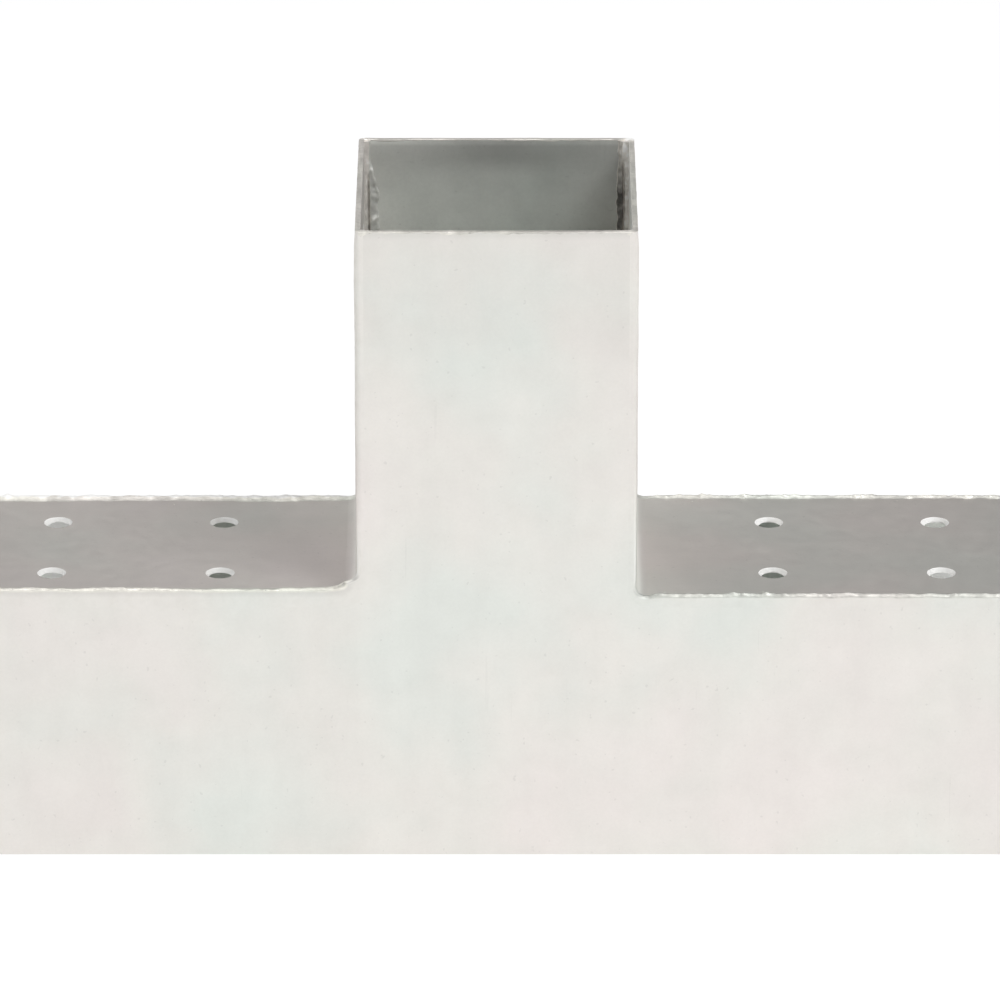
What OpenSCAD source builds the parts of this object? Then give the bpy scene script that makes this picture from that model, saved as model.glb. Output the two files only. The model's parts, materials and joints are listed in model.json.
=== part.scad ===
// T-shaped connector for square timber posts, welded up from flat and bent galvanised sheet.
// Two level arms and one upright stub are square sleeves of the same bore, open at their ends.
// +Z is up, the arms lie along X and the front faces -Y. The origin is the middle of the underside.

/* [Post] */
// Side of the square post that each sleeve takes
post_w = 100; // [70:1:140]
// Play between a post and the inside of its sleeve, both sides together
post_play = 1; // [0:0.5:4]

/* [Sheet] */
// Thickness of the steel sheet
sheet_t = 2; // [1.5:0.25:4]
// Inner radius of the bend between the stub's side and the arm's top
bend_r = 5; // [3:0.5:12]

/* [Sleeves] */
// Length of each arm, from the stub's side to the open end
arm_l = 147.5; // [125:0.5:220]
// Height of the stub, from the arms' top to the rim
stub_l = 147.5; // [125:0.5:220]

/* [Bolt holes] */
// Diameter of a hole
hole_d = 11; // [6:0.5:14]
// Distance from a sleeve's open end to the centres of its outer pair of holes
hole_end = 31; // [15:0.5:40]
// Distance between the outer and the inner pair, along the sleeve
hole_pitch = 64; // [25:1:68]
// Distance between the two holes of a pair, across the sleeve
hole_gauge = 51; // [25:1:56]

/* [Welds] */
// How far the corner seams stand above the arms' top
seam_rise = 1; // [0.4:0.1:2]
// Radius of the rounded top of such a seam
seam_r = 2.1; // [1.8:0.1:4]
// Leg of the fillet welds inside the stub's corners
fillet_leg = 3.5; // [1.5:0.5:6]
// Depth of the bevel along the bottom sheet's long edges, which the weld fills flush
groove_d = 1.2; // [0.5:0.1:1.4]

/* [Hidden] */
$fn = 64;

// Inside and outside of a sleeve, and the distances of its walls from the middle
bore_w = post_w + post_play;
sleeve_w = bore_w + 2 * sheet_t;
bore_half = bore_w / 2;
sleeve_half = sleeve_w / 2;

// Overall length and height
overall_l = sleeve_w + 2 * arm_l;
overall_h = sleeve_w + stub_l;

// The bend: its centre, seen from the front on the right-hand side, and the sheet's outer radius
bend_x = sleeve_half + bend_r;
bend_z = sleeve_w + bend_r;
bend_outer_r = bend_r + sheet_t;

// Straight lengths that the bend leaves on an arm's top and on the stub's side
arm_flat = arm_l - bend_r;
stub_flat = stub_l - bend_r;

// A cut that goes right through a sheet runs this far past each face
through = 1;

sheet_colour = [0.80, 0.80, 0.78];
strip_colour = [0.66, 0.67, 0.65];
weld_colour = [0.90, 0.90, 0.88];

// Quarter of a disc, in the quadrant of -X and +Y, with its corner at the origin
module quarter_disc(r) {
    intersection() {
        circle(r = r);
        translate([-r, 0]) square(r);
    }
}

// Four holes through a sheet that lies flat at z = 0 to sheet_t, with the sleeve's open end at x = 0
// and the sleeve running towards -X
module hole_pattern() {
    for (along = [hole_end, hole_end + hole_pitch], across = [-1, 1] * hole_gauge / 2)
        translate([-along, across, -through])
            cylinder(d = hole_d, h = sheet_t + 2 * through);
}

// Outline of a T sheet, seen from the front. Its top and side edges stop a sheet short of the
// outside, where the corner seams lie, and its inner corners follow the bend.
module tee_outline() {
    translate([-overall_l / 2, 0]) square([overall_l, sleeve_w - sheet_t]);
    translate([-bore_half, 0]) square([bore_w, overall_h]);
    for (side = [0, 1])
        mirror([side, 0])
            difference() {
                translate([bore_half, sleeve_w - sheet_t]) square(bend_outer_r);
                translate([bend_x, bend_z]) circle(r = bend_outer_r);
            }
}

// T sheet on the front, one sheet thick
module tee_plate() {
    color(sheet_colour)
        translate([0, -bore_half, 0])
            rotate([90, 0, 0])
                linear_extrude(height = sheet_t) tee_outline();
}

// Section of the right-hand bent sheet, seen from the front
module angle_profile() {
    translate([bore_half, bend_z]) square([sheet_t, stub_flat]);
    translate([bend_x, sleeve_w - sheet_t]) square([arm_flat, sheet_t]);
    translate([bend_x, bend_z])
        difference() {
            rotate(90) quarter_disc(bend_outer_r);
            circle(r = bend_r);
        }
}

// Right-hand bent sheet between the two T sheets: the stub's side, the bend and the arm's top
module angle_sheet() {
    color(strip_colour)
        difference() {
            rotate([90, 0, 0])
                linear_extrude(height = bore_w, center = true) angle_profile();
            translate([overall_l / 2, 0, sleeve_w - sheet_t]) hole_pattern();
            translate([bore_half, 0, overall_h]) rotate([0, -90, 0]) mirror([0, 0, 1]) hole_pattern();
        }
}

// Bottom sheet between the two T sheets, with its long edges bevelled underneath
module bottom_sheet() {
    underside_half = bore_half - groove_d;
    color(strip_colour)
        difference() {
            rotate([90, 0, 90])
                linear_extrude(height = overall_l, center = true)
                    polygon([
                        [-underside_half, 0], [underside_half, 0], [bore_half, groove_d],
                        [bore_half, sheet_t], [-bore_half, sheet_t], [-bore_half, groove_d]
                    ]);
            for (side = [0, 1])
                mirror([side, 0, 0]) translate([overall_l / 2, 0, 0]) hole_pattern();
        }
}

// Seam along an arm's top, from the bend at z = 0 to the open end, with -X to the front and +Y up.
// A quarter round fills the open corner. The bead over it has a round nose where it leaves the bend,
// is cut flush with the front face and rests on the bent sheet.
module arm_seam() {
    bead_top = sheet_t + seam_rise;
    linear_extrude(height = arm_flat) quarter_disc(sheet_t);
    intersection() {
        translate([-sheet_t / 4, bead_top - seam_r, seam_r]) {
            sphere(r = seam_r);
            cylinder(r = seam_r, h = arm_flat - seam_r);
        }
        linear_extrude(height = arm_flat)
            polygon([
                [-sheet_t, 0], [0, 0], [0, sheet_t],
                [2 * seam_r, sheet_t], [2 * seam_r, bead_top], [-sheet_t, bead_top]
            ]);
    }
}

// Seam that fills the open corner between the front T sheet and the right-hand bent sheet. It is
// flush on the front, proud of the arm's top, and a quarter round on the bend and up the stub.
module corner_seam() {
    color(weld_colour) {
        translate([bend_x, -bore_half, sleeve_w - sheet_t])
            rotate([90, 0, 90]) arm_seam();
        translate([bend_x, 0, bend_z])
            rotate([90, 0, 0])
                rotate([0, 0, 180])
                    rotate_extrude(angle = 90)
                        translate([bend_outer_r, bore_half]) quarter_disc(sheet_t);
        translate([bore_half, -bore_half, bend_z])
            linear_extrude(height = stub_flat) rotate(180) quarter_disc(sheet_t);
    }
}

// Weld that fills the groove along the bottom sheet's front edge
module bottom_seam() {
    color(weld_colour)
        translate([0, -bore_half, 0])
            rotate([90, 0, 90])
                linear_extrude(height = overall_l, center = true)
                    polygon([[0, 0], [groove_d, 0], [0, groove_d]]);
}

// Fillet weld inside the stub's front right corner, from the bend up to the rim
module corner_fillet() {
    color(weld_colour)
        translate([bore_half, -bore_half, bend_z])
            linear_extrude(height = stub_flat)
                polygon([[0, 0], [0, fillet_leg], [-fillet_leg, 0]]);
}

module at_left() {
    mirror([1, 0, 0]) children();
}

module at_rear() {
    mirror([0, 1, 0]) children();
}

module front_plate() { tee_plate(); }
module rear_plate() { at_rear() tee_plate(); }
module left_angle() { at_left() angle_sheet(); }
module right_angle() { angle_sheet(); }
module bottom_plate() { bottom_sheet(); }
module left_front_seam() { at_left() corner_seam(); }
module right_front_seam() { corner_seam(); }
module left_rear_seam() { at_left() at_rear() corner_seam(); }
module right_rear_seam() { at_rear() corner_seam(); }
module bottom_front_seam() { bottom_seam(); }
module bottom_rear_seam() { at_rear() bottom_seam(); }
module left_front_fillet() { at_left() corner_fillet(); }
module right_front_fillet() { corner_fillet(); }
module left_rear_fillet() { at_left() at_rear() corner_fillet(); }
module right_rear_fillet() { at_rear() corner_fillet(); }

front_plate();
rear_plate();
left_angle();
right_angle();
bottom_plate();
left_front_seam();
right_front_seam();
left_rear_seam();
right_rear_seam();
bottom_front_seam();
bottom_rear_seam();
left_front_fillet();
right_front_fillet();
left_rear_fillet();
right_rear_fillet();
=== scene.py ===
"""Looks of a welded, galvanised T connector for square posts: zinc finish, weld beads, light, camera."""

import json
import math
import random

import bmesh
import bpy
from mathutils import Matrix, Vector, noise


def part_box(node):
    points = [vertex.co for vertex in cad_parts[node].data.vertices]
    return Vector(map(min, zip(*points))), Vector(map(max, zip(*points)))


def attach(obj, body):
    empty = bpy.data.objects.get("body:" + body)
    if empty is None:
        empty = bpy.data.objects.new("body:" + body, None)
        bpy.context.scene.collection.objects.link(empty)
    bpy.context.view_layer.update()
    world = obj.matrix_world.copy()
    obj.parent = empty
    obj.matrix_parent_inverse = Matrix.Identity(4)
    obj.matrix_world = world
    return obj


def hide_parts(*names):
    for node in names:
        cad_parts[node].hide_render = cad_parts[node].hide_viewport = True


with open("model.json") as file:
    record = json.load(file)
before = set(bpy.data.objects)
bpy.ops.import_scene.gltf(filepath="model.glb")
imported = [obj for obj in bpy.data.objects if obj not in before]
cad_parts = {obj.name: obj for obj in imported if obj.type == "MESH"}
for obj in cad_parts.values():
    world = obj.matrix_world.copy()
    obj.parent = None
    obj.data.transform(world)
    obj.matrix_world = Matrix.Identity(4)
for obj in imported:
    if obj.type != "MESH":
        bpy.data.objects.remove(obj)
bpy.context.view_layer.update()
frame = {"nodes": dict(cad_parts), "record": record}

MM = 0.001

# Sizes that the frame gives, in millimetres
PLATE_LOW, PLATE_HIGH = (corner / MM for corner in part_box("front_plate"))
SHEET = PLATE_HIGH.y - PLATE_LOW.y
HALF_LENGTH = PLATE_HIGH.x
RIM_Z = PLATE_HIGH.z
SLEEVE_HALF = -PLATE_LOW.y
BORE_HALF = SLEEVE_HALF - SHEET
MID_WALL = BORE_HALF + SHEET / 2
ARM_TOP_Z = 2 * SLEEVE_HALF
BEND_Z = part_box("right_front_fillet")[0].z / MM
BEND_R = BEND_Z - ARM_TOP_Z
BEND_X = SLEEVE_HALF + BEND_R
BEND_OUTER_R = BEND_R + SHEET

# The photograph's camera: distance in front of the front face, height and sideways place in metres,
# pitch down in degrees, lens and sensor width in millimetres, and how far it sees in metres
CAMERA_DISTANCE = 2.905
CAMERA_HEIGHT = 1.31419
CAMERA_SIDE = 0.00133
CAMERA_PITCH = 21.912
CAMERA_LENS = 300.54
SENSOR_WIDTH = 36
CLIP_END = 60

# Brings the noise to about -1 to 1, and keeps the noise of two seeds apart
NOISE_GAIN = 1.5
WAVE_SEED_STEP = 7.3
LUMP_SEED_STEP = 5.7

# Edges sharper than this, in degrees, aren't smoothed
SHARP_ANGLE = 50

# Blobs of weld metal: their range across a seam, their range of radii, and how many radii they reach
BLOB_ACROSS = (0.32, 0.8)
BLOB_RADII = (0.6, 1.5)
BLOB_REACH = 3


# Shape helpers. Lengths in them are millimetres.


def mix(a, b, share):
    return a + (b - a) * share


def smooth(low, high, value):
    """0 at low, 1 at high and a smooth step between them."""
    t = min(1.0, max(0.0, (value - low) / (high - low)))
    return t * t * (3 - 2 * t)


def bump(offset, width):
    """1 at no offset, falling away to nothing over about two widths."""
    return math.exp(-((offset / width) ** 2))


def wave(s, pitch, seed):
    """Even noise of about -1 to 1 along a length."""
    return NOISE_GAIN * noise.noise(Vector((s / pitch, WAVE_SEED_STEP * seed, 0.5)))


def lumps(point, pitch, seed):
    """Even noise of about -1 to 1 in space."""
    return NOISE_GAIN * noise.noise(Vector(point) / pitch + Vector((0, 0, LUMP_SEED_STEP * seed)))


def steps(start, end, pitch):
    """Even values from start to end, about a pitch apart."""
    count = max(1, round(abs(end - start) / pitch))
    return [mix(start, end, i / count) for i in range(count + 1)]


def skin(name, rings, loop=False):
    """A piece whose skin joins rings of points, capped unless the rings close into a loop. Each point
    comes with its tone, below 0 for dark and above 0 for light, which holds painted light and shade as
    well as the metal's own tone, and its share of weld finish."""
    count = len(rings[0])
    points, tones, beads = zip(*(entry for ring in rings for entry in ring))
    faces = []
    for i in range(len(rings) if loop else len(rings) - 1):
        here, there = i * count, (i + 1) % len(rings) * count
        for j in range(count):
            k = (j + 1) % count
            faces.append((here + j, here + k, there + k, there + j))
    if not loop:
        faces.append(tuple(reversed(range(count))))
        faces.append(tuple(range(len(points) - count, len(points))))
    mesh = bpy.data.meshes.new(name)
    mesh.from_pydata([Vector(point) * MM for point in points], [], faces)
    paint(mesh, tones, beads)
    return finish_piece(name, mesh)


def paint(mesh, tones, beads):
    """Keeps each point's tone and share of weld finish on the mesh for the material."""
    for label, values in (("tone", tones), ("bead", beads)):
        mesh.attributes.new(label, "FLOAT", "POINT").data.foreach_set("value", values)


def new_object(name, data):
    """Puts a mesh, a lamp or a camera into the scene."""
    thing = bpy.data.objects.new(name, data)
    bpy.context.scene.collection.objects.link(thing)
    return thing


def finish_piece(name, mesh):
    """Turns a mesh's faces outwards, smooths it and makes it a piece of the object."""
    shape = bmesh.new()
    shape.from_mesh(mesh)
    bmesh.ops.recalc_face_normals(shape, faces=shape.faces)
    shape.to_mesh(mesh)
    shape.free()
    mesh.shade_smooth()
    mesh.set_sharp_from_angle(angle=math.radians(SHARP_ANGLE))
    piece = new_object(name, mesh)
    piece.data.materials.append(MATERIALS["galvanised_weld"])
    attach(piece, "root")
    return piece


def scatter_blobs(seed, count, length, low, high):
    """Blobs along a seam: distance, share of the way across, radius and height."""
    dice = random.Random(seed)
    ranges = ((0, length), BLOB_ACROSS, BLOB_RADII, (low, high))
    return [tuple(dice.uniform(*limits) for limits in ranges) for _ in range(count)]


def blob_height(blobs, s, share, width):
    """Height that the blobs add at a distance along the seam and a share of its width."""
    return sum(
        height * bump(s - place, radius) * bump((share - across) * width, radius)
        for place, across, radius, height in blobs
        if abs(s - place) < BLOB_REACH * radius
    )


# Corner seams: each fills the open corner between a T sheet and a bent sheet, along the arm's top,
# round the bend and up the stub. A section has two axes: out, from the T sheet's inner face to its
# outer face and beyond, and up, from the T sheet's edge through the bent sheet.

# Distance between a seam's sections, and how many points its nose and the fall behind it have
STATION = 0.55
NOSE_POINTS = 8
FALL_POINTS = 10
ARC_POINTS = NOSE_POINTS + FALL_POINTS

# How far the skins stand off the sheets, how far they lap over the T sheet's face and over the bent
# sheet's, and how far a ground seam stands out on the stub's side
FLUSH = 0.02
FACE_LAP = 1.0
SIDE_LAP = 1.6
STUB_PROUD = 0.4

# Depth of the hidden side past the corner, and thickness of the skins on the bent sheet and on the face
ROOT_DEPTH = 0.05
SIDE_SKIN = 0.4
FACE_SKIN = 0.3

# The bead's front below its shoulder: shares of the lean and of the shoulder's height
FRONT_SHARES = [(1 / 6, 0.5), (1 / 3, 0.82)]

# How far behind the nose the crest lies, as a share of the bead's width
CREST_BACK = 0.3

# Where a ground seam's lap on the bent sheet has its points, as shares of the lap
SIDE_SHARES = (0.4, 0.75, 1.0)

# Power that flattens the bead's nose towards a slant: 1 is a quarter round, 2 a straight slant
NOSE_FLATNESS = 1.5

# The sections start to turn this far before the bend and end this far after it
TURN = 5.0
ARM_RUN = HALF_LENGTH - BEND_X
BEND_RUN = BEND_OUTER_R * math.pi / 2
SEAM_RUN = ARM_RUN + BEND_RUN + RIM_Z - BEND_Z

# The bead rises between these distances from the open end, and the ground seam sinks over this height
# under the rim
OPEN_END_RISE = (-1, 8)
RIM_SINK = 7

# Share of their height that the fine waves lose where the sections turn, since they would crowd there
CALMED = 0.8

# How each corner seam looks; all of them start from COMMON_LOOK
# crest, shoulder: heights of the bead and of its front corner
# toe, lean: how far it runs in over the bent sheet, and how far it stands out from the face
# hump: extra height where the bead turns up the bend
# fade: where the bead sinks into the ground seam, counted from the bend's start and below 0 on the arm
# rich, rough: its share of weld finish, and how uneven it is
# nose_tone, crest_tone, toe_tone: tones across the bead from front to back, as skin() says; they paint
# light and shade on the bead, toe_tone a painted shadow along its toe
# clear: where the tones of crest and toe end, counted like fade
# bend_tone, bend_width: tone on the nose where the bead meets the bend, a painted highlight where it is
# above 0 and painted shade over the lamp's highlight where it is below 0, and that patch's width
# under_tone: a painted shadow line just below the shoulder
# patch: how much the tone varies from place to place
# blobs, seed: how many blobs lie on it and their greatest height, and the start of its random draws
COMMON_LOOK = {
    "lean": 0.1, "hump": 0.0, "fade": (0, 10), "clear": (5, 9), "toe_tone": -2.0, "bend_tone": 0.0,
    "bend_width": 7, "under_tone": 0.0,
}
SEAM_LOOKS = {
    "left_front_seam": COMMON_LOOK | {
        "crest": 6.6, "shoulder": 5.95, "toe": 2.2, "lean": 0.3, "hump": 2.0, "fade": (9, 17), "rich": 1.0,
        "rough": 0.8, "nose_tone": -0.1, "crest_tone": -2.8, "bend_tone": 1.2, "under_tone": -0.8,
        "patch": 0.7, "blobs": (34, 0.22), "seed": 11,
    },
    "right_front_seam": COMMON_LOOK | {
        "crest": 4.3, "shoulder": 3.2, "toe": 1.8, "fade": (-2, 9), "rich": 0.4, "rough": 0.6,
        "nose_tone": -1.7, "crest_tone": -3.6, "clear": (-5, 1), "bend_tone": -4.4, "bend_width": 4,
        "patch": 1.6, "blobs": (40, 0.30), "seed": 23,
    },
    "left_rear_seam": COMMON_LOOK | {
        "crest": 2.9, "shoulder": 2.1, "toe": 3.5, "rich": 0.6, "rough": 0.7, "nose_tone": 1.6,
        "crest_tone": 1.7, "toe_tone": -1.2, "patch": 1.0, "blobs": (44, 0.40), "seed": 37,
    },
    "right_rear_seam": COMMON_LOOK | {
        "crest": 2.8, "shoulder": 2.1, "toe": 1.1, "rich": 0.4, "rough": 0.6, "nose_tone": -0.6,
        "crest_tone": -1.0, "toe_tone": -3.0, "patch": 1.2, "blobs": (40, 0.40), "seed": 41,
    },
}

# The hump's middle past the bend's start and its width, and the share of it that the shoulder takes
HUMP_AT = 4.0
HUMP_WIDTH = 7.0
SHOULDER_HUMP = 0.8

# Drops of metal where a bead with a hump turns up the bend: distance past the bend's start, share of
# the way across the bead, radius and height
BEND_DROPS = [(0.5, 0.42, 2.2, 0.1), (4.5, 0.48, 3.0, 0.3), (8.0, 0.42, 2.2, 0.12)]

# Painted light on the side of a ground seam, which lifts a line that the lamps leave dark there: its
# strength, its middle and width as shares of the section, and the place past the bend's end where it is
# strongest, with its reach along the seam
SIDE_TONE = 1.5
SIDE_MIDDLE = 0.54
SIDE_WIDTH = 0.11
SIDE_AT = 10
SIDE_REACH = 35

# Share of the section at the point just below the shoulder, and the width of the painted shadow line there
UNDER_SHARE = 3 / (3 + ARC_POINTS)
UNDER_WIDTH = 0.02

# Share of the section up to which a point counts as the bead's front
FRONT_SHARE = 0.4

# Height and pitch of the fine ripples that welding leaves across a bead
RIPPLE_HEIGHT = 0.04
RIPPLE_PITCH = 1.7

# Width over which a blob's place across the seam is measured, and how much its height adds to the tone, a
# painted highlight on the blob's top
BLOB_SPAN = 6.0
BLOB_TONE = 4


def seam_path():
    """Stations of a right-hand seam: distance, corner point and upward direction in the XZ plane."""
    corners = [(d, HALF_LENGTH - d, ARM_TOP_Z - SHEET) for d in steps(0, ARM_RUN, STATION)]
    for angle in steps(0, math.pi / 2, STATION / BEND_OUTER_R)[1:]:
        x = BEND_X - BEND_OUTER_R * math.sin(angle)
        z = BEND_Z - BEND_OUTER_R * math.cos(angle)
        corners.append((ARM_RUN + BEND_OUTER_R * angle, x, z))
    for d in steps(0, RIM_Z - BEND_Z, STATION)[1:]:
        corners.append((ARM_RUN + BEND_RUN + d, BORE_HALF, BEND_Z + d))
    path = []
    for s, x, z in corners:
        turned = min(1.0, max(0.0, (s - ARM_RUN + TURN) / (BEND_RUN + 2 * TURN)))
        angle = turned * math.pi / 2
        path.append((s, (x, z), (math.sin(angle), math.cos(angle))))
    return path


def bead_section(lean, shoulder, crest, toe):
    """Outside of a raised bead: up the face, over the slanting nose to the crest and softly down."""
    edge = SHEET + FLUSH
    nose = SHEET + lean
    peak = nose - CREST_BACK * (nose + toe)
    points = [(edge, -FACE_LAP), (edge, 0)]
    points += [(edge + out * lean, up * shoulder) for out, up in FRONT_SHARES]
    for k in range(NOSE_POINTS):
        angle = math.pi / 2 * k / (NOSE_POINTS - 1)
        out = mix(peak, nose, math.cos(angle) ** NOSE_FLATNESS)
        points.append((out, mix(shoulder, crest, math.sin(angle) ** NOSE_FLATNESS)))
    for k in range(FALL_POINTS):
        share = (k + 1) / FALL_POINTS
        points.append((mix(peak, -toe, share), mix(crest, SHEET - FLUSH, smooth(0, 1, share))))
    return points


def flush_section(proud):
    """Outside of a ground seam: a quarter round with a thin lap on both faces."""
    edge = SHEET + FLUSH
    points = [(edge, -FACE_LAP), (edge, -0.6 * FACE_LAP), (edge, -0.3 * FACE_LAP), (edge, -0.1)]
    arc = ARC_POINTS - len(SIDE_SHARES)
    for k in range(arc):
        angle = math.pi / 2 * k / (arc - 1)
        points.append((edge * math.cos(angle), (edge + proud) * math.sin(angle)))
    for share in SIDE_SHARES:
        points.append((-SIDE_LAP * share, edge + proud * (1 - share) ** 2 - FLUSH * share))
    return points


def seam_root(toe_point):
    """Hidden side of a section, inside the sheets, from the toe back to the face."""
    under_side, behind_face = SHEET - SIDE_SKIN, SHEET - FACE_SKIN
    return [
        (toe_point[0] + 0.1, under_side), (-ROOT_DEPTH, under_side), (-ROOT_DEPTH, -ROOT_DEPTH),
        (behind_face, -ROOT_DEPTH), (behind_face, -FACE_LAP),
    ]


def section_normal(points, k):
    """Outward direction of a section at one of its points."""
    before, after = points[max(0, k - 1)], points[min(len(points) - 1, k + 1)]
    along = Vector((after[0] - before[0], after[1] - before[1]))
    return Vector((along.y, -along.x)).normalized()


class SeamSection:
    """One section of a corner seam: its outside, and how far it is raised, calm and near the bend."""

    def __init__(self, look, s):
        self.s = s
        fade_start, fade_end = look["fade"]
        self.raised = 1 - smooth(ARM_RUN + fade_start, ARM_RUN + fade_end, s)
        self.raised *= smooth(*OPEN_END_RISE, s)
        self.calm = 1 - CALMED * smooth(ARM_RUN - TURN, ARM_RUN, s)
        self.at_bend = bump(s - ARM_RUN - HUMP_AT, look["bend_width"])
        self.hump = look["hump"] * bump(s - ARM_RUN - HUMP_AT, HUMP_WIDTH)
        drop = 0.35 * look["rough"] * wave(s, 5, look["seed"] + 5)
        self.shoulder = look["shoulder"] + drop + SHOULDER_HUMP * self.hump
        pairs = zip(self.ground(look), self.bead(look))
        self.outside = [(mix(g[0], b[0], self.raised), mix(g[1], b[1], self.raised)) for g, b in pairs]

    def bead(self, look):
        """The raised bead's section, with its waves along the seam."""
        s, seed = self.s, look["seed"]
        lift = look["rough"] * (0.3 * wave(s, 11, seed) + 0.14 * self.calm * wave(s, 3.4, seed + 1))
        spread = 0.4 * wave(s, 7, seed + 2) + 0.2 * self.calm * wave(s, 2.5, seed + 3)
        spread += 0.25 * look["toe"] * wave(s, 23, seed + 8)
        lean = look["lean"] * (1 + 0.7 * wave(s, 6, seed + 4))
        return bead_section(lean, self.shoulder, look["crest"] + lift + self.hump, look["toe"] + spread)

    def ground(self, look):
        """The ground seam's section, level with the sheets at the rim."""
        to_rim = smooth(0, RIM_SINK, SEAM_RUN - self.s)
        return flush_section(STUB_PROUD * (1 + 0.25 * wave(self.s, 16, look["seed"] + 7)) * to_rim)

    def on_bead(self, share, up):
        """1 on the raised bead and 0 on the laps and the ground seam."""
        if share < FRONT_SHARE:
            return smooth(self.shoulder - 0.6, self.shoulder, up) * self.raised
        return smooth(0.45 * self.shoulder, 0.9 * self.shoulder, up) * self.raised


def seam_relief(look, here, point, share, on_bead, blob):
    """Height of the lumps, ripples and blobs at a point of the section."""
    s, seed = here.s, look["seed"]
    skin_lumps = 0.20 * lumps(point, 5.5, seed) + 0.11 * lumps(point, 2.0, seed + 1)
    ripple_turn = 2 * math.pi * s / RIPPLE_PITCH + 2 * wave(s, 5, seed + 6)
    ripple = RIPPLE_HEIGHT * here.calm * math.cos(ripple_turn)
    height = (skin_lumps + ripple) * mix(0.1, 1.0, on_bead) * look["rough"] + blob
    return height * smooth(0, 0.15, share) * smooth(0, 0.15, 1 - share)


def seam_tone(look, here, point, share, on_bead, blob):
    """Tone at a point of the section: the weld's patchy tone, with painted light and shade across the
    bead, at the bend and on the ground seam's side.
    """
    s, seed = here.s, look["seed"]
    patchy = 0.6 * lumps(point, 4.0, seed + 2) + 0.4 * lumps(point, 1.2, seed + 3)
    patchy *= look["patch"] * mix(0.4, 1, here.calm)
    # Painted light and shade across the bead, from nose to toe
    level = mix(look["nose_tone"], look["crest_tone"], smooth(0.2, 0.5, share))
    level = mix(level, look["toe_tone"], smooth(0.5, 0.95, share))
    clear_start, clear_end = look["clear"]
    cleared = smooth(ARM_RUN + clear_start, ARM_RUN + clear_end, s)
    level *= 1 - cleared * smooth(0.3, 0.5, share)
    # Painted highlight at the bend, or painted shade over the lamp's highlight there, by the sign of its
    # tone
    on_nose = smooth(0.3, 0.45, share) * smooth(0.1, 0.2, 0.8 - share)
    # Painted shadow line just below the shoulder
    under = look["under_tone"] * bump(share - UNDER_SHARE, UNDER_WIDTH) * here.raised
    # Painted light on the ground seam's side
    along_side = bump(s - ARM_RUN - BEND_RUN - SIDE_AT, SIDE_REACH)
    side = SIDE_TONE * (1 - here.raised) * bump(share - SIDE_MIDDLE, SIDE_WIDTH) * along_side
    # Blob tops take a painted highlight
    on_skin = (level + patchy + BLOB_TONE * blob) * on_bead
    return on_skin + under + look["bend_tone"] * here.at_bend * on_nose + side


def seam_blobs(look):
    """Blobs scattered along the arm, and the drops at the bend where the bead has a hump."""
    count, highest = look["blobs"]
    blobs = scatter_blobs(look["seed"], count, ARM_RUN, 0.3 * highest, highest)
    if look["hump"]:
        blobs += [(ARM_RUN + past, share, radius, height) for past, share, radius, height in BEND_DROPS]
    return blobs


def make_seam(name, side, face):
    """A corner seam in place of the regular one. side is 1 on the right and -1 on the left, and face
    is -1 at the front and 1 at the rear."""
    look = SEAM_LOOKS[name]
    blobs = seam_blobs(look)
    rings = []
    for s, (x, z), (nx, nz) in seam_path():
        here = SeamSection(look, s)
        ring = []
        for k, (out, up) in enumerate(here.outside):
            share = k / (len(here.outside) - 1)
            on_bead = here.on_bead(share, up)
            point = (x + up * nx, face * (BORE_HALF + out), z + up * nz)
            blob = blob_height(blobs, s, share, BLOB_SPAN) * on_bead
            relief = seam_relief(look, here, point, share, on_bead, blob)
            out, up = Vector((out, up)) + section_normal(here.outside, k) * relief
            place = (side * (x + up * nx), face * (BORE_HALF + out), z + up * nz)
            tone = seam_tone(look, here, point, share, on_bead, blob)
            ring.append((place, tone, look["rich"] * on_bead))
        for out, up in seam_root(here.outside[-1]):
            ring.append(((side * (x + up * nx), face * (BORE_HALF + out), z + up * nz), 0.0, 0.0))
        rings.append(ring)
    piece = skin(name + "_bead", rings)
    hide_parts(name)


# Welds inside the stub's corners. A section's axes are across, from the bent sheet, and off, from the
# T sheet. A slit divides a smooth band beside the bent sheet from the lumpy bead.

# Width of the steps across a weld, its distance from the rim, and how deep its hidden side is sunk
INNER_PITCH = 0.25
INNER_RIM_GAP = 0.4
INNER_SUNK = 0.15

# Blobs on each weld: how many, and their least and greatest height
INNER_BLOBS = (30, 0.15, 0.45)

# The slit opens over this height, and its floor stands this far off the T sheet
SLIT_OPENS = 5
SLIT_FLOOR = 0.1

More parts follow.
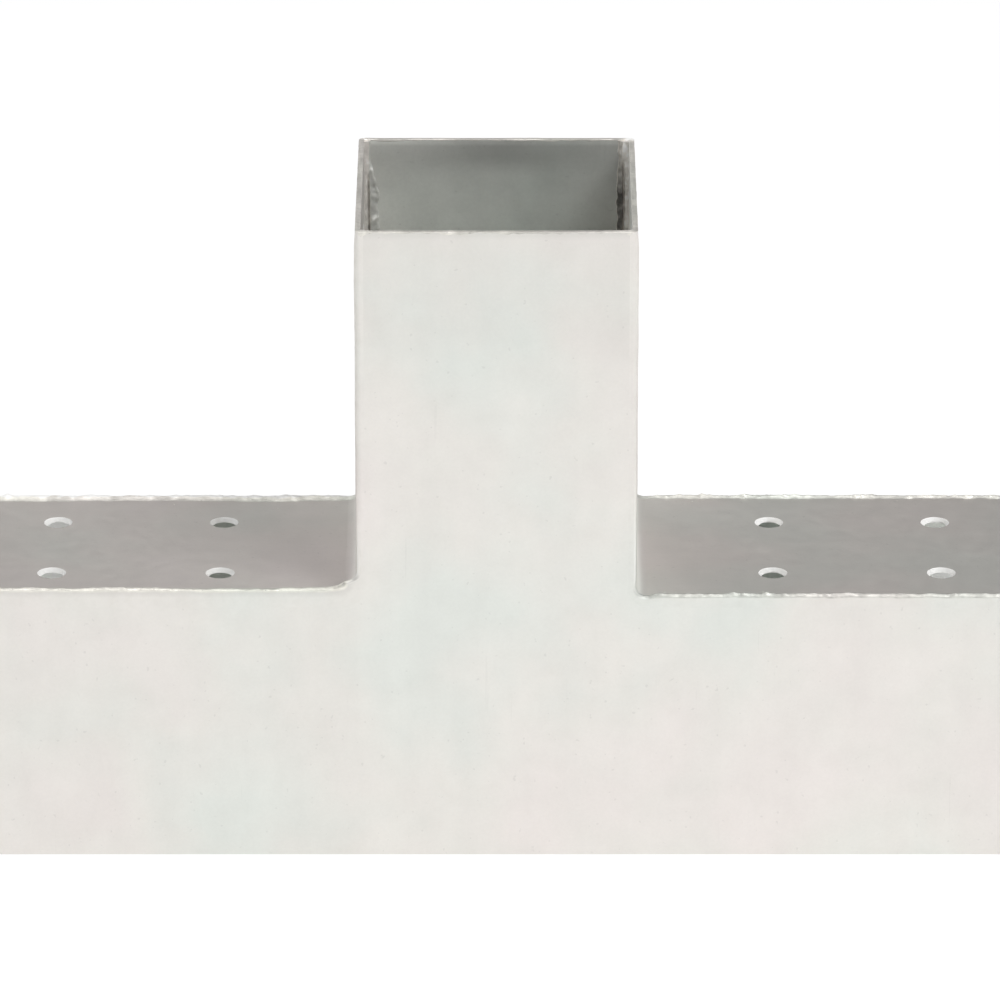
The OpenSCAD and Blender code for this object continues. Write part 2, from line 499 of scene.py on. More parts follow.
# How each weld inside the stub looks; all of them start from COMMON_INNER_LOOK
# slit, slit_half: the slit's place and half its width
# slit_tone, slit_from: its tone, a painted shadow, and how far under the rim it starts to open
# depth: the weld's thickness at the bent sheet
# toe_high, toe_low: its width under the rim and further down
# edge: height of the ridge along its outer edge
# band_tone, bead_tone: tone of the smooth band, painted light, and of the bead, painted shade
# finish: share of weld finish on the bead; below 0 it is a share of the tints of the sleeve's inside
# rough, seed: how uneven it is, and the start of its random draws
COMMON_INNER_LOOK = {
    "slit": 1.8, "slit_half": 0.3, "slit_tone": -1.5, "slit_from": 7, "depth": 2.2, "toe_high": 3.6,
    "toe_low": 4.0, "edge": 0.3, "band_tone": 0.0, "bead_tone": -0.8, "finish": 0.5, "rough": 1.0,
}
INNER_LOOKS = {
    "left_rear_fillet": COMMON_INNER_LOOK | {
        "slit": 1.6, "slit_half": 0.4, "slit_tone": -2.2, "slit_from": 13, "depth": 1.5, "toe_high": 2.3,
        "toe_low": 5.6, "edge": 0.1, "band_tone": 0.6, "bead_tone": -0.2, "finish": -0.8, "rough": 0.9,
        "seed": 53,
    },
    "right_rear_fillet": COMMON_INNER_LOOK | {
        "slit": 2.0, "slit_half": 0.35, "depth": 1.6, "toe_high": 4.0, "toe_low": 4.6, "edge": 0.2,
        "band_tone": 1.2, "bead_tone": -5.8, "rough": 1.6, "seed": 61,
    },
    "left_front_fillet": COMMON_INNER_LOOK | {"seed": 71},
    "right_front_fillet": COMMON_INNER_LOOK | {"seed": 83},
}


def inner_widths(look, z):
    """The weld's width at a height, its slit's place and how far the slit is open."""
    seed, under_rim = look["seed"], RIM_Z - z
    toe = mix(look["toe_high"], look["toe_low"], smooth(4, 26, under_rim))
    toe += 0.55 * wave(z, 7, seed) + 0.35 * wave(z, 2.5, seed + 1)
    slit = look["slit"] + 0.25 * wave(z, 9, seed + 2)
    opening = smooth(look["slit_from"], look["slit_from"] + SLIT_OPENS, under_rim)
    opening *= smooth(-0.8, -0.2, wave(z, 15, seed + 3))
    return toe, slit, opening


def inner_tone(look, point, share, on_bead, lump, in_slit):
    """Tone at a point of the weld: painted light on the band and on the lumps' tops, painted shade on the
    bead that deepens further down the stub, and a painted shadow in the slit.
    """
    seed, under_rim = look["seed"], RIM_Z - point[2]
    # Painted shade on the bead, deeper further down the stub
    bead_tone = look["bead_tone"] * mix(0.37, 1.15, smooth(8, 22, under_rim))
    level = mix(look["band_tone"], bead_tone, on_bead * smooth(0, 0.1, 1 - share))
    patchy = 0.8 * lumps(point, 2.6, seed + 2) + 0.6 * lumps(point, 1.0, seed + 3)
    # Painted highlight on the lumps' tops
    lit = 1.8 * max(0.0, lump) * on_bead
    # Painted shadow in the slit
    return level + patchy * look["rough"] + lit + look["slit_tone"] * in_slit


def make_inner_weld(name, side, face):
    """A lumpy weld up one corner of the stub, from the bend to just under the rim."""
    look = INNER_LOOKS[name]
    seed, depth = look["seed"], look["depth"]
    widest = max(look["toe_high"], look["toe_low"]) + 0.8
    shares = steps(0, 1, INNER_PITCH / widest)
    count, lowest, highest = INNER_BLOBS
    blobs = scatter_blobs(seed, count, RIM_Z - BEND_Z, lowest, highest)
    rings = []
    for z in steps(BEND_Z, RIM_Z - INNER_RIM_GAP, STATION):
        toe, slit, opening = inner_widths(look, z)
        ring = []
        for share in shares:
            across = share * toe
            in_slit = opening * math.exp(-(((across - slit) / look["slit_half"]) ** 4))
            on_bead = smooth(slit, slit + 0.5, across)
            point = (side * (BORE_HALF - across), face * BORE_HALF, z)
            lump = look["rough"] * (0.28 * lumps(point, 4.5, seed) + 0.15 * lumps(point, 1.8, seed + 1))
            lump += blob_height(blobs, z - BEND_Z, share, toe)
            lump += look["edge"] * bump(across - toe + 0.7, 0.35)
            off = (1 - share) ** 0.6 * depth + lump * on_bead * smooth(0, 0.12, 1 - share)
            off = mix(max(off, 0.0), SLIT_FLOOR, in_slit)
            place = (side * (BORE_HALF - across), face * (BORE_HALF - off), z)
            tone = inner_tone(look, point, share, on_bead, lump, in_slit)
            ring.append((place, tone, look["finish"] * on_bead))
        for across, off in ((toe - 0.1, -INNER_SUNK), (-0.1, -INNER_SUNK), (-0.1, depth / 2)):
            ring.append(((side * (BORE_HALF - across), face * (BORE_HALF - off), z), 0.0, 0.0))
        rings.append(ring)
    piece = skin(name + "_weld", rings)
    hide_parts(name)


# Ground welds along the underside's edges

# Distance between their sections, how far they stop short of the ends, and their share of weld finish
BOTTOM_PITCH = 1.2
BOTTOM_END_GAP = 0.4
BOTTOM_FINISH = 0.8


def make_bottom_weld(name, face, seed):
    """A shallow weld, ground off level with the underside, with ragged edges and uneven tone."""
    half = HALF_LENGTH - BOTTOM_END_GAP
    rings = []
    for x in steps(-half, half, BOTTOM_PITCH):
        edge_in = 1.9 + 0.5 * wave(x, 9, seed) + 0.35 * wave(x, 3, seed + 1)
        edge_out = 0.9 + 0.3 * wave(x, 7, seed + 2) + 0.2 * wave(x, 2.5, seed + 3)
        section = [
            (-edge_out, 0.01), (-0.5 * edge_out, -0.05), (0, -0.07), (0.5 * edge_in, -0.06),
            (edge_in, 0.01), (0.7 * edge_in, 0.3), (-0.6 * edge_out, 0.3),
        ]
        ring = []
        for inwards, z in section:
            point = (x, face * (BORE_HALF - inwards), z)
            tone = 0.8 * lumps(point, 4, seed) + 0.8 * lumps(point, 1.4, seed + 1)
            ring.append((point, tone, BOTTOM_FINISH))
        rings.append(ring)
    piece = skin(name + "_weld", rings)
    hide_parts(name)


# Zinc skin along the cut edges, at the rim and at the arms' open ends

# Radius of the skin's corners, the angle between stations round them, and the corners' signs in order
LIP_CORNER = 1.2
LIP_ARC_STEP = math.radians(18)
SQUARE_CORNERS = [(1, 1), (-1, 1), (-1, -1), (1, -1)]

# The skin's least height over the edge and how much it grows where the skin is thick, its share of weld
# finish, and its tone at the ends and the rim; the rim's low tone is painted shade that damps the
# highlights on its rounded top
LIP_LEAST = 0.05
LIP_GROWTH = 0.12
LIP_FINISH = 0.7
END_TONE = -0.6
RIM_TONE = -2.0

# Runs of zinc under the rim: place in X and Y, width, depth and tone
RIM_DRIPS = [
    (-51, -52, 1.2, 2.0, 1.5), (-49, -52, 0.8, 1.2, 1.5), (3, -52, 2.0, 0.8, 1.2),
    (-18, -52, 3.0, 0.7, 1.0), (50, -52, 1.5, 0.8, 1.2), (50.5, 51.0, 2.6, 1.4, 4.5),
    (-50.5, 51.5, 1.2, 0.9, 2.5),
]


def ring_path(half, radius):
    """Stations round a square with rounded corners: distance, place and outward direction."""
    path = []
    middles = [Vector(signs) * (half - radius) for signs in SQUARE_CORNERS]
    for i, middle in enumerate(middles):
        start = i * math.pi / 2
        end = start + math.pi / 2
        for angle in steps(start, end, LIP_ARC_STEP)[:-1]:
            outward = Vector((math.cos(angle), math.sin(angle)))
            path.append((middle + radius * outward, outward))
        outward = Vector((math.cos(end), math.sin(end)))
        begin = middle + radius * outward
        finish = middles[(i + 1) % len(middles)] + radius * outward
        for share in steps(0, 1, STATION / (finish - begin).length)[:-1]:
            path.append((begin.lerp(finish, share), outward))
    stations, travelled = [], 0.0
    for i, (place, outward) in enumerate(path):
        if i:
            travelled += (place - path[i - 1][0]).length
        stations.append((travelled, place, outward))
    return stations


def drips_at(drips, place):
    """Depth and tone that the runs add at a place on the path."""
    depth, tone = 0.0, 0.0
    for x, y, width, drip_depth, drip_tone in drips:
        near = bump(math.dist(place, (x, y)), width)
        depth += near * drip_depth
        tone += near * drip_tone
    return depth, tone


def lip_section(outer_skirt, inner_skirt, thick, tall):
    """The skin's section: up the outer side, over the edge, down the inner side and back in the sheet."""
    half = SHEET / 2
    return [
        (half + 0.01, -outer_skirt), (half + thick, -0.6 * outer_skirt), (half + 1.3 * thick, -0.12),
        (0.93 * half, 0.45 * tall), (0.75 * half, 0.85 * tall), (0.3 * half, tall),
        (-0.3 * half, tall), (-0.75 * half, 0.85 * tall), (-0.93 * half, 0.45 * tall),
        (-half - 1.3 * thick, -0.12), (-half - thick, -0.6 * inner_skirt), (-half - 0.01, -inner_skirt),
        (-0.8 * half, -0.2), (0.8 * half, -0.2),
    ]


def make_lip(name, place_point, seed, tone_level, drips=()):
    """A skin over a sheet's cut edge. place_point turns (u, v, up) into a point, up away from the edge."""
    rings = []
    for s, place, outward in ring_path(MID_WALL, LIP_CORNER):
        thick_here = smooth(0.1, 0.8, wave(s, 10, seed) + 0.5 * wave(s, 3, seed + 1))
        tall = LIP_LEAST + LIP_GROWTH * thick_here * (1 + 0.5 * wave(s, 2.2, seed + 8))
        drip, drip_tone = drips_at(drips, place)
        outer_skirt = 0.5 + 0.4 * wave(s, 4, seed + 2) + 0.25 * wave(s, 1.5, seed + 3) + drip
        inner_skirt = 0.5 + 0.4 * wave(s, 4, seed + 4)
        thick = max(0.02, 0.04 + 0.04 * wave(s, 3, seed + 5) + 0.05 * drip)
        section = lip_section(max(0.15, outer_skirt), max(0.15, inner_skirt), thick, tall)
        ring = []
        for off, up in section:
            u, v = place + off * outward
            point = place_point(u, v, up)
            patchy = 0.9 * lumps((0.25 * s, 3 * off, 2 * up), 3.0, seed + 6)
            patchy += 0.4 * lumps(point, 1.1, seed + 7)
            ring.append((point, tone_level + patchy + thick_here + drip_tone, LIP_FINISH))
        rings.append(ring)
    return skin(name, rings, loop=True)


def rim_point(u, v, up):
    """Places the skin of the rim."""
    return (u, v, RIM_Z + up)


def end_point(side):
    """Places the skin of an arm's open end."""
    def place_point(u, v, up):
        return (side * (HALF_LENGTH + up), u, SLEEVE_HALF + v)
    return place_point


# Zinc collars that line the bolt holes

# Angle between a collar's sections, its share of weld finish and its tone, high enough to turn it white:
# freshly cast zinc, whitened further as painted light on the holes' far walls
COLLAR_STEP = math.radians(5)
COLLAR_FINISH = 0.5
COLLAR_TONE = 2.0

# Width of a thick run round the hole, in radians
RUN_WIDTH = 0.4


def hole_places():
    """Each bolt hole in the record's mounts: its mount's name, its middle on the outer face, the
    direction out of it and its radius."""
    found = []
    for mount in frame["record"]["mounts"]:
        if mount["kind"] != "bolt_pattern":
            continue
        axis = Vector(mount["axis"])
        middle = Vector(mount["pos_m"]) / MM
        dims = mount["dims"]
        half_u, half_v = dims["spacing_x_mm"] / 2, dims["spacing_y_mm"] / 2
        for u in (-half_u, half_u):
            for v in (-half_v, half_v):
                offset = Vector((u, v, 0) if abs(axis.z) > 0.5 else (0, u, v))
                found.append((mount["name"], middle + offset, axis, dims["hole_r_mm"]))
    return found


def collar_section(radius, fill):
    """Section of the lining: distance from the hole's axis and height over the outer face."""
    back = radius + 0.3
    return [
        (radius + 0.02, -0.03), (radius - 0.05, -0.1), (radius - 0.25 * fill, -0.45),
        (radius - 0.5 * fill, -0.95), (radius - 0.75 * fill, -1.45), (radius - fill, -1.95),
        (radius - 0.85 * fill, -2.08), (radius - 0.3 * fill, -2.1),
        (back, -2.04), (back, -1.4), (back, -0.5),
    ]


def make_collar(name, centre, axis, radius, seed):
    """A zinc lining that thickens towards the far side of the sheet, with two thick runs."""
    first = Vector((1, 0, 0)) if abs(axis.z) > 0.5 else Vector((0, 1, 0))
    second = axis.cross(first)
    dice = random.Random(seed)
    runs = [(dice.uniform(0.0, 0.6), dice.uniform(0.2, 0.5))]
    runs.append((math.pi - dice.uniform(0.0, 0.6), dice.uniform(0.2, 0.6)))
    rings = []
    for angle in steps(0, 2 * math.pi, COLLAR_STEP)[:-1]:
        toward = first * math.cos(angle) + second * math.sin(angle)
        s = radius * math.sin(angle)
        run = sum(depth * bump(math.remainder(angle - at, 2 * math.pi), RUN_WIDTH) for at, depth in runs)
        section = collar_section(radius, max(0.3, 0.6 + 0.12 * wave(s, 3, seed) + run))
        # White zinc, partly painted light on the holes' walls
        tone = COLLAR_TONE + 0.4 * wave(s, 2, seed + 3)
        rings.append([(centre + toward * r + axis * up, tone, COLLAR_FINISH) for r, up in section])
    return skin(name, rings, loop=True)


# Spatter: small beads of metal that stuck to the arms beside the welds

# A bead's height as a share of its radius, its tone, its share of weld finish and its range of radii
SPATTER_FLATNESS = 0.55
SPATTER_TONE = -1.6
SPATTER_FINISH = 0.4
SPATTER_RADII = (0.15, 0.45)

# Mean distance from the bend, least and mean further distance from the seam, and bare stretch at the end
SPATTER_RUN = 30
SPATTER_INSET = 2.5
SPATTER_END_GAP = 3


def make_spatter(name, spots):
    """Each spot is a place on an arm's top and a radius."""
    shape = bmesh.new()
    for place, radius in spots:
        made = bmesh.ops.create_icosphere(shape, subdivisions=2, radius=radius * MM)
        for vertex in made["verts"]:
            vertex.co.z *= SPATTER_FLATNESS
            vertex.co += Vector(place) * MM
    mesh = bpy.data.meshes.new(name)
    shape.to_mesh(mesh)
    shape.free()
    paint(mesh, [SPATTER_TONE] * len(mesh.vertices), [SPATTER_FINISH] * len(mesh.vertices))
    return finish_piece(name, mesh)


def spatter_spots(side, face, count, seed):
    """Spots on the arm's top beside one seam."""
    dice = random.Random(seed)
    spots = []
    for _ in range(count):
        x = BEND_X + dice.expovariate(1 / SPATTER_RUN)
        inset = SPATTER_INSET + dice.expovariate(1 / SPATTER_INSET)
        radius = dice.uniform(*SPATTER_RADII)
        if x < HALF_LENGTH - SPATTER_END_GAP:
            spots.append(((side * x, face * (BORE_HALF - inset), ARM_TOP_Z), radius))
    return spots


# Materials


class Nodes:
    """Short names for building one node tree."""

    def __init__(self, tree):
        self.tree = tree
        self.tree.nodes.clear()

    def add(self, kind, **values):
        node = self.tree.nodes.new(kind)
        for name, value in values.items():
            setattr(node, name, value)
        return node

    def link(self, source, target):
        self.tree.links.new(source, target)

    def put(self, socket, value):
        if isinstance(value, bpy.types.NodeSocket):
            self.link(value, socket)
        else:
            socket.default_value = value

    def feed(self, node, **inputs):
        """Sets or links a node's inputs; spaces in an input's name are written as underscores."""
        for name, value in inputs.items():
            self.put(node.inputs[name.replace("_", " ")], value)
        return node

    def object_place(self):
        return self.add("ShaderNodeTexCoord").outputs["Object"]

    def stretched(self, place, factors):
        return self.feed(self.add("ShaderNodeMapping"), Vector=place, Scale=factors).outputs[0]

    def noise(self, place, scale, detail=2.0, roughness=0.5):
        node = self.add("ShaderNodeTexNoise")
        self.feed(node, Vector=place, Scale=scale, Detail=detail, Roughness=roughness)
        return node.outputs["Fac"]

    def ramp(self, value, stops):
        node = self.add("ShaderNodeValToRGB")
        elements = node.color_ramp.elements
        while len(elements) < len(stops):
            elements.new(0.5)
        for element, (position, colour) in zip(elements, stops):
            element.position = position
            element.color = (*colour, 1)
        self.link(value, node.inputs[0])
        return node.outputs["Color"]

    def span(self, value, low, high, new_low, new_high, kind="LINEAR"):
        """Carries low to high over to new_low to new_high, clamped at both ends."""
        node = self.add("ShaderNodeMapRange", interpolation_type=kind)
        for socket, number in zip(node.inputs, (value, low, high, new_low, new_high)):
            self.put(socket, number)
        return node.outputs["Result"]

    def fade(self, length, low, high, new_low, new_high, kind="LINEAR"):
        """span for a length, with low and high in millimetres."""
        return self.span(length, low * MM, high * MM, new_low, new_high, kind)

    def soft_fade(self, length, low, high, new_low, new_high):
        return self.fade(length, low, high, new_low, new_high, "SMOOTHSTEP")

    def math(self, operation, a, b=0.0):
        node = self.add("ShaderNodeMath", operation=operation)
        self.put(node.inputs[0], a)
        self.put(node.inputs[1], b)
        return node.outputs[0]

    def times(self, a, b):
        return self.math("MULTIPLY", a, b)

    def scale_colour(self, colour, factor):
        node = self.add("ShaderNodeVectorMath", operation="SCALE")
        return self.feed(node, Vector=colour, Scale=factor).outputs[0]

    def mix_colour(self, a, b, share):
        node = self.add("ShaderNodeMix", data_type="RGBA")
        for index, value in ((0, share), (6, a), (7, b)):
            self.put(node.inputs[index], value)
        return node.outputs[2]

    def axis(self, place, letter):
        node = self.add("ShaderNodeSeparateXYZ")
        self.link(place, node.inputs[0])
        return node.outputs[letter]

    def bump(self, height, strength, distance):
        node = self.add("ShaderNodeBump")
        self.feed(node, Height=height, Strength=strength, Distance=distance)
        return node.outputs[0]


# Share of metal in the finish of old zinc and of freshly cast white zinc, and that white's colour, which
# painted highlights take too
METALLIC = 0.75
WHITE_METALLIC = 0.2
ZINC_AND_HIGHLIGHT_WHITE = (0.95, 0.945, 0.93, 1)

# Each finish has three tints, which lie in large soft patches
SHEET_TINTS = [(0.765, 0.785, 0.745), (0.80, 0.782, 0.742), (0.815, 0.775, 0.745)]
INSIDE_TINTS = [(0.59, 0.63, 0.595), (0.625, 0.645, 0.615), (0.65, 0.65, 0.625)]
BENT_TINTS = [(0.615, 0.607, 0.573), (0.64, 0.605, 0.575), (0.645, 0.60, 0.58)]
# The bend's tints are paler than the bent sheet's: painted light on the bend
BEND_LIT_TINTS = [(0.79, 0.80, 0.755), (0.80, 0.79, 0.75), (0.81, 0.785, 0.755)]
WELD_TINTS = [(0.78, 0.80, 0.72), (0.83, 0.81, 0.74), (0.84, 0.80, 0.76)]

# How strongly the mottle shows on outer faces, in the sleeves and on weld metal
CALM_MOTTLE = 0.025
INSIDE_MOTTLE = 0.06
WELD_MOTTLE = 0.05

# How much one step of tone brightens weld metal, and the least and greatest brightness
TONE_STEP = 0.12
DARKEST = 0.2
LIGHTEST = 1.2

# Tones at which weld metal starts to turn into the white of freshly cast zinc and is all white; painted
# highlights reach these tones too
WHITENS_FROM = 1.0
WHITENS_FULLY = 1.8


def zinc_colour(n, place, tints, contrast):
    """Three tints in large soft patches, with a cloudy mottle and a fine grain over them."""
    patches = n.noise(place, 13.0, 3.0, 0.45)
    colour = n.ramp(patches, [(0.34, tints[0]), (0.5, tints[1]), (0.66, tints[2])])
    cloud = n.span(n.noise(place, 55.0, 4.0, 0.55), 0.25, 0.75, 1 - contrast, 1 + contrast)
    grain = n.span(n.noise(place, 900.0, 2.0), 0.3, 0.7, 1 - 0.4 * contrast, 1 + 0.4 * contrast)
    return n.scale_colour(colour, n.times(cloud, grain))


def add_marks(n, place, colour):
    """Fine dark dots and faint hairlines from handling."""
    dots = n.span(n.noise(place, 520.0, 1.0), 0.22, 0.27, 0.92, 1.0)
    hairs = n.noise(n.stretched(place, (1.0, 1.0, 0.05)), 420.0, 2.0)
    hairs = n.span(hairs, 0.24, 0.30, 0.965, 1.0)
    return n.scale_colour(colour, n.times(dots, hairs))


def new_material(name):
    material = bpy.data.materials.new(name)
    material.use_nodes = True
    return material, Nodes(material.node_tree)


def end_metal(n, colour, roughness, normal, metallic=METALLIC):
    """Ends a material in a metal shader."""
    metal = n.add("ShaderNodeBsdfPrincipled")
    n.feed(metal, Base_Color=colour, Metallic=metallic, Roughness=roughness, Normal=normal)
    n.link(metal.outputs[0], n.add("ShaderNodeOutputMaterial").inputs["Surface"])


# How far under the rim the painted shade inside the stub stops changing, and how far from the bend the
# arms' tops are painted paler, as if lit by light thrown back from the stub
STUB_SHADE_DEPTH = 30
PALE_ARM_TOP = 50


def painted_inside_light(n, place):
    """Painted light and shade on the T sheets' inner faces: in the stub darker to the right and in a band
    under the rim, in the arms paler towards their open ends."""
    across, height = n.axis(place, "X"), n.axis(place, "Z")
    from_middle = n.math("ABSOLUTE", across)
    # Painted shade across the stub, darker to the right, and painted light in the arms, paler towards
    # their open ends
    side = n.fade(across, -BORE_HALF, BORE_HALF, 1.24, 0.83)
    arm = n.fade(from_middle, 2 * BORE_HALF, 0.85 * HALF_LENGTH, 1.04, 1.4)
    side = n.fade(from_middle, BORE_HALF, 2 * BORE_HALF, side, arm)
    low = n.soft_fade(height, RIM_Z - STUB_SHADE_DEPTH, RIM_Z - 12, 1.15, 1.0)
    band_shade = n.fade(from_middle, 0.15 * BORE_HALF, 0.8 * BORE_HALF, 0.66, 0.90)
    band = n.soft_fade(height, RIM_Z - 16, RIM_Z - 6, 1.0, band_shade)
    edge = n.soft_fade(height, RIM_Z - 3, RIM_Z - 1, 1.0, 1.25)
    return n.times(n.times(side, low), n.times(band, edge))


def brushed(n, place, colour, stretch):
    """Faint streaks of tone; stretch is below 1 in their direction."""
    streaks = n.noise(n.stretched(place, stretch), 60.0, 3.0, 0.6)
    return n.scale_colour(colour, n.span(streaks, 0.3, 0.7, 0.985, 1.015))


def end_sheet(n, place, colour):
    """Ends a material in metal with rolled sheet's uneven roughness and fine relief."""
    roughness = n.span(n.noise(place, 180.0, 3.0), 0.3, 0.7, 0.48, 0.56)
    end_metal(n, colour, roughness, n.bump(n.noise(place, 420.0, 4.0, 0.6), 0.25, 0.00005))


def flat_sheet():
    """Rolled sheet: pale and even outside but for painted shade high on the stub and under the rim,
    greener and more mottled on the sleeves' inside, with painted light and shade there.
    """
    material, n = new_material("galvanised_sheet")
    place = n.object_place()
    height = n.axis(place, "Z")
    # Painted shade on the outer faces: a little darker high on the stub, and darker again just under the
    # rim
    greyer = n.soft_fade(height, 0.75 * RIM_Z, 0.85 * RIM_Z, 1.0, 0.96)
    under_rim = n.soft_fade(height, RIM_Z - 3.5, RIM_Z - 0.5, 1.0, 0.93)
    outside = zinc_colour(n, place, SHEET_TINTS, CALM_MOTTLE)
    outside = n.scale_colour(outside, n.times(greyer, under_rim))
    inside = zinc_colour(n, place, INSIDE_TINTS, INSIDE_MOTTLE)
    # Painted light and shade on the sleeves' inside
    inside = n.scale_colour(inside, painted_inside_light(n, place))
    depth = n.math("ABSOLUTE", n.axis(place, "Y"))
    face = n.fade(depth, BORE_HALF + 0.5, BORE_HALF + 1.5, 0.0, 1.0)
    colour = add_marks(n, place, n.mix_colour(inside, outside, face))
    end_sheet(n, place, brushed(n, place, colour, (1, 1, 0.12)))
    return material


def painted_arm_top_light(n, place, from_middle):
    """Painted light and shade on the arms' tops: paler near the stub, darker towards their ends and on the
    right, paler at the left's rear.
    """
    across = n.axis(place, "X")
    near = n.soft_fade(from_middle, BEND_X, BEND_X + PALE_ARM_TOP, 1.17, 1.0)
    far = n.fade(from_middle, BEND_X + PALE_ARM_TOP, HALF_LENGTH, 1.0, 0.93)
    right = n.fade(across, SLEEVE_HALF, BEND_X + 15, 1.0, 0.92)
    rear = n.fade(n.axis(place, "Y"), 0, SLEEVE_HALF, 1.0, 1.07)
    left_rear = n.fade(across, -BEND_X, BEND_X, rear, 1.0)
    return n.times(n.times(near, far), n.times(right, left_rear))


def painted_stub_inside_light(n, place, from_middle):
    """Painted light and shade on the bent sheets' inner faces, paler on the right; 1 on their outer faces.
    """
    across = n.axis(place, "X")
    # Painted light inside the stub, paler to the right
    upper = n.fade(across, -BORE_HALF, BORE_HALF, 1.05, 1.72)
    lower = n.fade(across, -BORE_HALF, BORE_HALF, 1.12, 1.55)
    height = n.axis(place, "Z")
    inner = n.soft_fade(height, RIM_Z - STUB_SHADE_DEPTH, RIM_Z - 11, lower, upper)
    return n.fade(from_middle, BORE_HALF + 0.3, BORE_HALF + 1.2, inner, 1.0)


def bent_sheet():
    """Bent sheet: greyer and brushed along the arm, with painted light that makes it paler in the bend and
    towards it, and painted light and shade on the arms' tops and inside the stub.
    """
    material, n = new_material("galvanised_bent_sheet")
    place = n.object_place()
    height = n.axis(place, "Z")
    from_middle = n.math("ABSOLUTE", n.axis(place, "X"))
    # Painted light on the bend: paler tints mixed in where the sheet curves up into the stub
    in_bend = n.soft_fade(height, ARM_TOP_Z + 0.1, ARM_TOP_Z + 0.35 * BEND_R, 0.0, 1.0)
    below_stub = n.soft_fade(height, BEND_Z + BEND_R, BEND_Z + 4 * BEND_R, 1.0, 0.0)
    colour = zinc_colour(n, place, BENT_TINTS, CALM_MOTTLE)
    stretched = zinc_colour(n, place, BEND_LIT_TINTS, CALM_MOTTLE)
    colour = n.mix_colour(colour, stretched, n.times(in_bend, below_stub))
    colour = brushed(n, place, add_marks(n, place, colour), (0.12, 1, 1))
    # Painted light and shade on the arms' tops and inside the stub
    top = painted_arm_top_light(n, place, from_middle)
    colour = n.scale_colour(colour, n.span(below_stub, 0.0, 1.0, 1.0, top))
    colour = n.scale_colour(colour, painted_stub_inside_light(n, place, from_middle))
    end_sheet(n, place, colour)
    return material


def toned(n, colour, tone, bead, place):
    """Weld metal's colour at each point's tone, with fine dark specks where it has weld finish."""
    specks = n.span(n.noise(place, 700.0, 3.0, 0.6), 0.26, 0.36, -0.35, 0.0)
    specks = n.math("ADD", n.times(specks, bead), 1.0)
    light = n.math("ADD", n.times(tone, TONE_STEP), 1.0)
    light = n.math("MINIMUM", n.math("MAXIMUM", light, DARKEST), LIGHTEST)
    return n.scale_colour(colour, n.times(light, specks))


def weld_metal():
    """Galvanised weld: each point's tone, which holds painted light and shade as well as the metal's own
    tone, darkens or lightens it, up to the white of freshly cast zinc. Its share of weld finish mixes the
    weld's tints in, or the tints of the sleeves' inside where it is below 0."""
    material, n = new_material("galvanised_weld")
    place = n.object_place()
    tone = n.add("ShaderNodeAttribute", attribute_name="tone").outputs["Fac"]
    bead = n.add("ShaderNodeAttribute", attribute_name="bead").outputs["Fac"]
    flat = zinc_colour(n, place, SHEET_TINTS, CALM_MOTTLE)
    colour = n.mix_colour(flat, zinc_colour(n, place, WELD_TINTS, WELD_MOTTLE), bead)
    inside = zinc_colour(n, place, INSIDE_TINTS, WELD_MOTTLE)
    colour = n.mix_colour(colour, inside, n.times(bead, -1.0))
    # White of freshly cast zinc, also used as painted highlight
    whitened = n.span(tone, WHITENS_FROM, WHITENS_FULLY, 0.0, 1.0)
    colour = n.mix_colour(toned(n, colour, tone, bead, place), ZINC_AND_HIGHLIGHT_WHITE, whitened)
    roughness = n.span(n.noise(place, 300.0, 3.0), 0.3, 0.7, 0.46, 0.62)
    metallic = n.span(whitened, 0.0, 1.0, METALLIC, WHITE_METALLIC)
    end_metal(n, colour, roughness, n.bump(n.noise(place, 700.0, 3.0, 0.6), 0.4, 0.0001), metallic)
    return material


MATERIALS = {
    "galvanised_sheet": flat_sheet(),
    "galvanised_bent_sheet": bent_sheet(),
    "galvanised_weld": weld_metal(),
}


def finish_cad_nodes():
    """Gives each CAD node the material that the record names for it."""
    slots = {s["node"]: s["material_slot"] for s in frame["record"]["subparts"]}
    for name, node in frame["nodes"].items():
        node.data.materials.clear()
        node.data.materials.append(MATERIALS[slots[name]])


# The studio: world, floor, lamps and camera

# White up to just over the horizon and grey overhead: heights in the sky and colours
SKY_STOPS = [(0.02, (1, 1, 1)), (0.30, (0.28, 0.28, 0.28))]

# The floor's half side and its drop below the object in metres, and its grey for the light it sends
# back. The camera and reflections see a darker grey with a glow, which together are white.
FLOOR_HALF = 20
FLOOR_DROP = 0.0002
FLOOR_GREY = (0.8, 0.8, 0.8, 1)
SEEN_GREY = (0.4, 0.4, 0.4, 1)
FLOOR_GLOW = 0.68

# Square soft lamps, aimed at the object's middle: place, side in metres and power in watts
LAMP_AIM = Vector((0, 0, 0.12))
SOFTBOXES = {
    "key_softbox": ((1.2, -1.3, 2.2), 1.2, 40),
    "top_softbox": ((0, 0, 2.4), 1.2, 15),
    "rear_softbox": ((-1.1, 1.2, 1.9), 1.2, 6),
    "front_softbox": ((-0.7, -2.4, 1.0), 1.6, 5),
}


def make_world():
    """The sky, which lights the object from all round and shows white behind it."""
    world = bpy.data.worlds.new("studio")
    bpy.context.scene.world = world
    world.use_nodes = True
    n = Nodes(world.node_tree)
    height = n.axis(n.add("ShaderNodeTexCoord").outputs["Generated"], "Z")
    sky = n.feed(n.add("ShaderNodeBackground"), Color=n.ramp(height, SKY_STOPS), Strength=1.0)
    n.link(sky.outputs[0], n.add("ShaderNodeOutputWorld").inputs["Surface"])


def add_softbox(name, place, size, power):
    lamp = bpy.data.lights.new(name, "AREA")
    lamp.shape = "SQUARE"
    lamp.size = size
    lamp.energy = power
    holder = new_object(name, lamp)
    holder.location = place
    aim = LAMP_AIM - Vector(place)
    holder.rotation_euler = aim.to_track_quat("-Z", "Y").to_euler()


